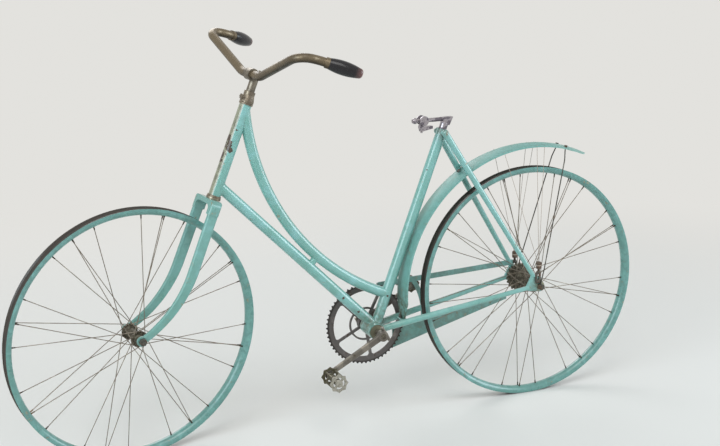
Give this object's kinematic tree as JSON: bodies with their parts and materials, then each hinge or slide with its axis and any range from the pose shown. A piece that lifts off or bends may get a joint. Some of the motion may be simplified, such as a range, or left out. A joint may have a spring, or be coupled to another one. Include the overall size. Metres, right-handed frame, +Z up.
{
  "type": "step-through safety bicycle",
  "caption": "Antique step-through safety bicycle with a curved top tube, bare wooden rims, swept handlebar, rear mudguard and an open chain guard; no saddle or tyres.",
  "frame": {"origin": "top of the saddle arm, where the rider's weight goes", "axes": "+X forward, +Y to the rider's left, +Z up"},
  "size_m": [1.7927, 0.587, 1.067],
  "materials": {
    "paint": "aged gloss, chipped to rust in places",
    "painted_wood": "paint over bent wood",
    "rim_wood": "painted sides, bare grey-brown tyre bed",
    "rusty_steel": "brown rust with grease",
    "bare_steel": "brown rust",
    "greasy_steel": "old grease over rust",
    "nickel": "worn nickel plating",
    "brown_nickel": "oxidised nickel plating, brown",
    "spoke_wire": "brown oxidised wire",
    "wire": "dark oxidised wire",
    "grip": "polished black composition"
  },
  "bodies": {
    "frame": {"head_tube": "paint", "headset_cups": "bare_steel", "top_tube": "paint", "down_tube": "paint", "frame_strut": "paint", "seat_tube": "paint", "bottom_bracket": "paint", "bracket_cups": "rusty_steel", "chain_stay_left": "paint", "chain_stay_right": "paint", "seat_stay_left": "paint", "seat_stay_right": "paint", "dropout_left": "paint", "dropout_right": "paint", "saddle_pillar": "nickel", "saddle_clamp": "nickel", "rear_fender": "painted_wood", "stay_bridges": "paint", "fender_stays": "wire", "chain_guard": "painted_wood", "guard_brackets": "wire", "rear_axle": "rusty_steel"},
    "fork": {"fork_crown": "paint", "headset_race": "rusty_steel", "headset_collar": "rusty_steel", "fork_blade_left": "paint", "fork_blade_right": "paint", "front_axle": "rusty_steel", "stem": "nickel", "handlebar": "brown_nickel", "grip_left": "grip", "grip_right": "grip"},
    "front_wheel": {"front_rim": "rim_wood", "front_spokes": "spoke_wire", "front_hub": "greasy_steel"},
    "rear_wheel": {"rear_rim": "rim_wood", "rear_spokes": "spoke_wire", "rear_hub": "greasy_steel", "rear_sprocket": "greasy_steel"},
    "crankset": {"crank_axle": "rusty_steel", "chainring": "rusty_steel", "crank_left": "rusty_steel", "crank_right": "rusty_steel"},
    "left_pedal": {"pedal_left": "rusty_steel"},
    "right_pedal": {"pedal_right": "rusty_steel"}
  },
  "joints": [
    {"name": "steering", "type": "hinge", "parent": "frame", "child": "fork", "pos_m": [0.613, 0, -0.158], "axis": [-0.3778, 0, 0.9259], "range_deg": [-70.8, 49.2]},
    {"name": "front_wheel_spin", "type": "hinge", "parent": "fork", "child": "front_wheel", "pos_m": [0.83918, 0.01612, -0.48865], "axis": [-0.1735, 0.9823, -0.0708], "continuous": true},
    {"name": "rear_wheel_spin", "type": "hinge", "parent": "frame", "child": "rear_wheel", "pos_m": [-0.296, 0, -0.488], "axis": [0, 1, 0], "continuous": true},
    {"name": "crank_spin", "type": "hinge", "parent": "frame", "child": "crankset", "pos_m": [0.186, 0, -0.565], "axis": [0, 1, 0], "continuous": true},
    {"name": "left_pedal_spin", "type": "hinge", "parent": "crankset", "child": "left_pedal", "pos_m": [0.34213, 0.072, -0.65048], "axis": [0, 1, 0], "continuous": true},
    {"name": "right_pedal_spin", "type": "hinge", "parent": "crankset", "child": "right_pedal", "pos_m": [0.02987, -0.072, -0.47952], "axis": [0, 1, 0], "continuous": true}
  ]
}
